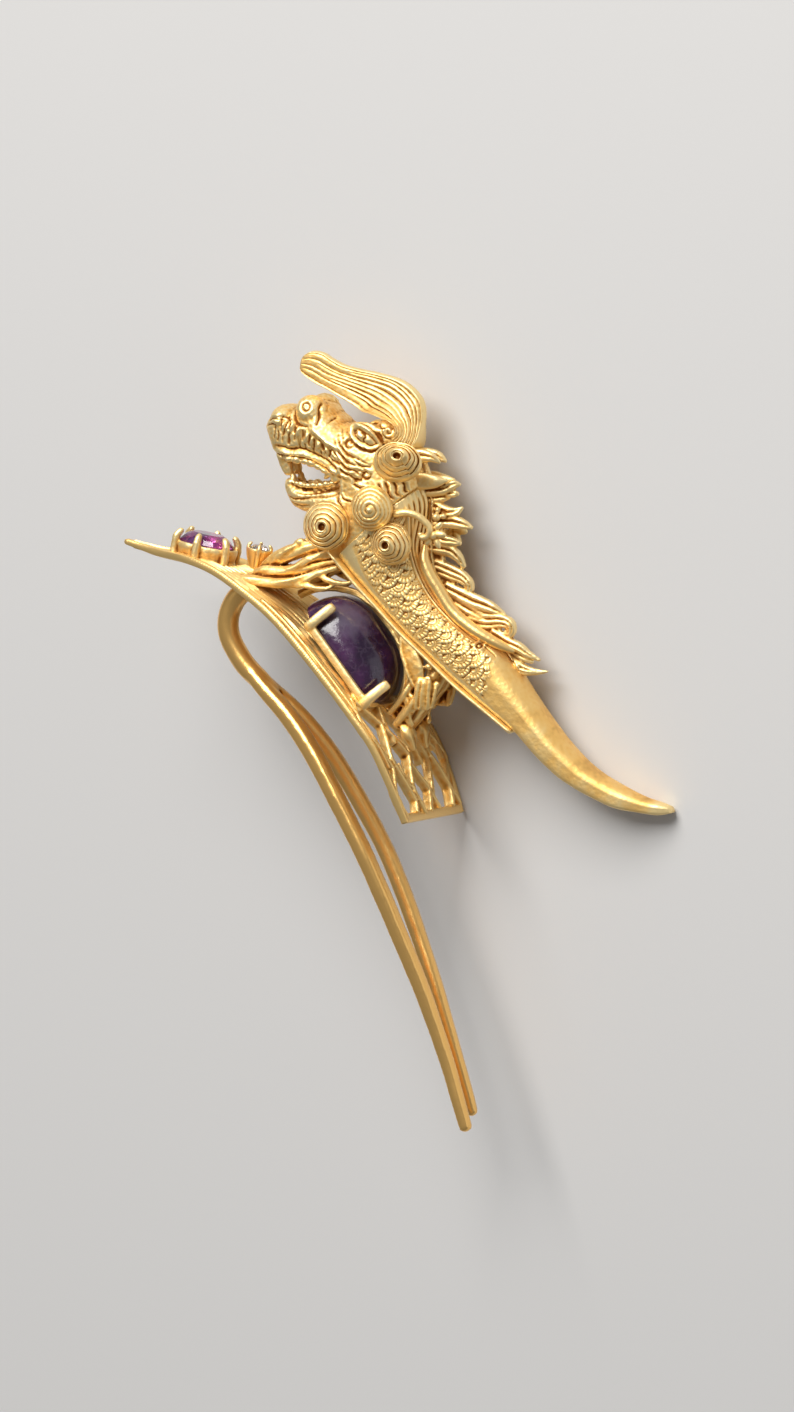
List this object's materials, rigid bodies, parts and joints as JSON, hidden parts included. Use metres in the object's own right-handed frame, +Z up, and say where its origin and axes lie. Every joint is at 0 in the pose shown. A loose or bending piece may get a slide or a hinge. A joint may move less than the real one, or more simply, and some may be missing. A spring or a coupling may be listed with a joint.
{
  "type": "hair ornament",
  "caption": "Gilt dragon hair ornament: scaled dragon with crest, mane and whorls over an openwork leaf with a cushion stone, on a two-prong fork.",
  "frame": {"origin": "on the floor that the ornament lies on, under the centre of its bounding box", "axes": "+X runs from the dragon's head to the prongs' tips, +Y from the leaf towards the dragon's back, +Z up from the floor through the side that the picture shows"},
  "size_m": [0.0842, 0.0458, 0.0188],
  "materials": {
    "gold": "satin gilt",
    "antique_gold": "textured gilt, darker in the grooves",
    "violet_stone": "polished dark violet cabochon",
    "lilac_stone": "polished facets",
    "clear_stone": "polished facets"
  },
  "bodies": {
    "root": {"fork": "gold", "leaf_base": "gold", "cabochon_setting": "gold", "cabochon": "violet_stone", "oval_setting": "gold", "oval_stone": "lilac_stone", "small_setting": "gold", "small_stone": "clear_stone", "front_sprig": "antique_gold", "rear_sprig": "antique_gold", "arch_wire": "antique_gold", "belly_strip": "gold", "dragon_body": "gold", "dragon_head": "gold", "crest": "gold", "mane": "gold", "back_bead_near": "gold", "back_bead_far": "gold", "shoulder_curl_near": "gold", "shoulder_curl_far": "gold", "whorl_near_1": "gold", "whorl_near_2": "gold", "whorl_near_3": "gold", "whorl_near_4": "gold", "whorl_far_1": "gold", "whorl_far_2": "gold", "whorl_far_3": "gold", "whorl_far_4": "gold"}
  },
  "joints": []
}
